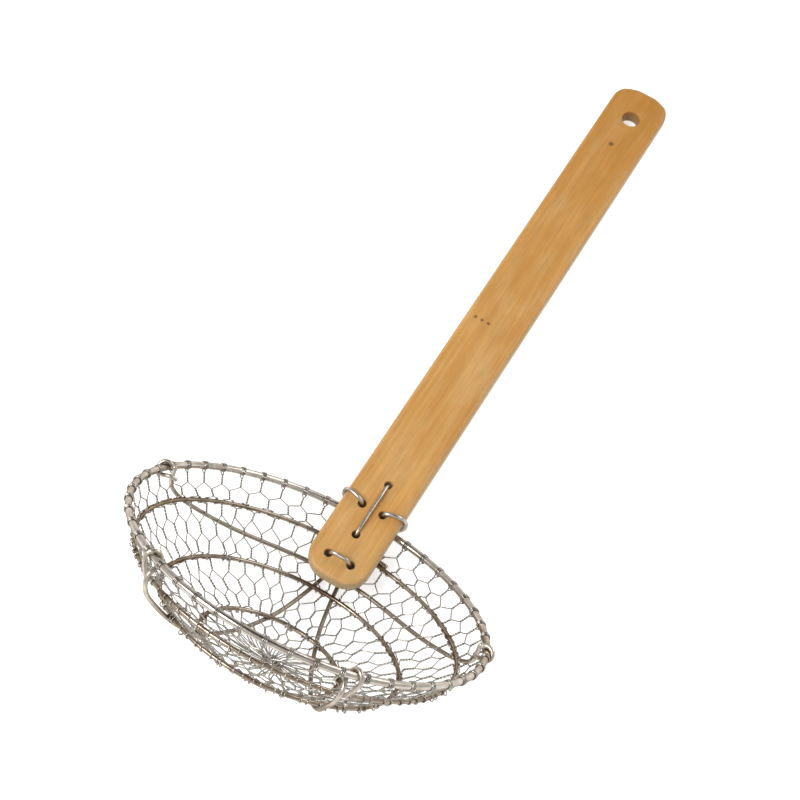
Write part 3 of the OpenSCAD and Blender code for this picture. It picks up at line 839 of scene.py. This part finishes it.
def slab():
    """The handle without its holes, as stacked outlines whose edges are rounded."""
    inner = EDGE_RADIUS + FACE_INSET
    quarter = range(0, 91, 15)
    layers = [(inner, 0)]
    layers += [(EDGE_RADIUS * (1 - sin(a)), -EDGE_RADIUS * (1 - cos(a))) for a in quarter]
    layers += [(EDGE_RADIUS * (1 - cos(a)), -HANDLE_THICKNESS + EDGE_RADIUS * (1 - sin(a))) for a in quarter]
    layers += [(inner, -HANDLE_THICKNESS)]
    edge = outline()
    count = len(edge)
    points = [handle_point(*drawn_in(corner, inset), d) for inset, d in layers for corner in edge]
    faces = []
    for layer in range(len(layers) - 1):
        for k in range(count):
            a, b = layer * count + k, layer * count + (k + 1) % count
            faces.append([a, a + count, b + count, b])
    faces.append(list(range(count)))
    faces.append([(len(layers) - 1) * count + k for k in reversed(range(count))])
    return np.array(points), faces


def drill(s, y, radius):
    """The solid that a drill takes out, a little wider at both faces."""
    deep = HANDLE_THICKNESS
    profile = ((0.9, 0.35), (0.35, -0.2), (0, -0.8),
               (0, 0.8 - deep), (0.35, 0.2 - deep), (0.9, -0.35 - deep))
    sides = 40
    points = []
    for flare, d in profile:
        reach = radius + flare
        points += [handle_point(s + reach * cos(360 * k / sides), y + reach * sin(360 * k / sides), d)
                   for k in range(sides)]
    faces = [list(range(sides)), [(len(profile) - 1) * sides + k for k in reversed(range(sides))]]
    for row in range(len(profile) - 1):
        for k in range(sides):
            a, b = row * sides + k, row * sides + (k + 1) % sides
            faces.append([a, a + sides, b + sides, b])
    return np.array(points), faces


def make_handle():
    strip = made_object("bamboo_strip", [slab()], HANDLE_SHARP_ANGLE)
    holes = [(HANG_S, 0, HANG_HOLE_RADIUS)] + [(s, y, LACE_HOLE_RADIUS) for s, y in LACE_HOLES]
    drills = made_object("drills", [drill(*hole) for hole in holes], HANDLE_SHARP_ANGLE)
    cut = strip.modifiers.new("holes", "BOOLEAN")
    cut.operation, cut.solver, cut.object = "DIFFERENCE", "EXACT", drills
    mesh = bpy.data.meshes.new_from_object(strip.evaluated_get(bpy.context.evaluated_depsgraph_get()))
    strip.modifiers.clear()
    strip.data = mesh
    mesh.set_sharp_from_angle(angle=math.radians(HANDLE_SHARP_ANGLE))
    bpy.data.objects.remove(drills)
    keep_piece(strip, bamboo(), "bamboo", "handle")


# ---- table, lights and camera ----
TABLE_SIZE = 80


def make_table():
    bpy.ops.mesh.primitive_plane_add(size=TABLE_SIZE)
    table = bpy.context.object
    table.name = "table"
    n = Nodes("table_white")
    n.join(n.ramp(n.noise(n.place, 3, 2), (0.3, (0.69, 0.69, 0.69)), (0.7, (0.72, 0.72, 0.72))),
           n.shader.inputs["Base Color"])
    n.shader.inputs["Roughness"].default_value = 0.7
    n.shader.inputs["Emission Color"].default_value = (1, 1, 1, 1)
    n.shader.inputs["Emission Strength"].default_value = 0.62
    table.data.materials.append(n.material)


def lamp(name, place, size, power):
    """A soft rectangular lamp that points at the origin."""
    data = bpy.data.lights.new(name, "AREA")
    data.shape = "RECTANGLE"
    data.size, data.size_y = size
    data.energy = power
    made = bpy.data.objects.new(name, data)
    made.location = place
    made.rotation_euler = (-Vector(place)).to_track_quat("-Z", "Y").to_euler()
    bpy.context.scene.collection.objects.link(made)


CEILING_AZIMUTH, CEILING_ELEVATION = 20, 72


def toward_sky(azimuth, elevation):
    return Vector((cos(elevation) * cos(azimuth), cos(elevation) * sin(azimuth), sin(elevation)))


def make_world():
    """A pale studio with a darker ceiling, which draws the dark line along the tops of the wires."""
    world = bpy.data.worlds.new("studio")
    world.use_nodes = True
    tree = world.node_tree
    direction = tree.nodes.new("ShaderNodeTexCoord").outputs["Generated"]
    toward = tree.nodes.new("ShaderNodeVectorMath")
    toward.operation = "DOT_PRODUCT"
    toward.inputs[1].default_value = toward_sky(CEILING_AZIMUTH, CEILING_ELEVATION)
    tree.links.new(direction, toward.inputs[0])
    ramp = tree.nodes.new("ShaderNodeValToRGB")
    for element, place, shade in zip(ramp.color_ramp.elements, (0.66, 0.95), (1.0, 0.10)):
        element.position = place
        element.color = (shade, shade, shade, 1)
    tree.links.new(toward.outputs["Value"], ramp.inputs["Fac"])
    tree.links.new(ramp.outputs["Color"], tree.nodes["Background"].inputs["Color"])
    tree.nodes["Background"].inputs["Strength"].default_value = 0.76
    bpy.context.scene.world = world


def make_lights():
    make_world()
    lamp("key", (-0.9, 0.9, 1.5), (0.9, 0.9), 29.5)
    lamp("fill", (1.2, -0.8, 1.2), (1.4, 1.0), 11)
    bpy.context.scene.view_settings.view_transform = "Standard"


def make_camera():
    """The photograph's viewpoint: where it looks, from how far, from which side and how it is turned."""
    aim = Vector((-47.6, 21.2, 40.7)) * MM
    distance, azimuth, elevation, roll = 1242.7 * MM, -159.50, 62.55, 10.89
    away = toward_sky(azimuth, elevation)
    data = bpy.data.cameras.new("camera")
    data.sensor_width, data.lens = 36, 86.77
    data.clip_start, data.clip_end = 0.05, 50
    made = bpy.data.objects.new("camera", data)
    turned = away.to_track_quat("Z", "Y").to_matrix().to_4x4() @ Matrix.Rotation(math.radians(roll), 4, "Z")
    made.matrix_world = Matrix.Translation(aim + away * distance) @ turned
    bpy.context.scene.collection.objects.link(made)
    bpy.context.scene.camera = made


make_camera()
make_table()
make_lights()
make_rim_and_hoops()
make_tied_wires()
make_net()
make_knot()
make_handle()
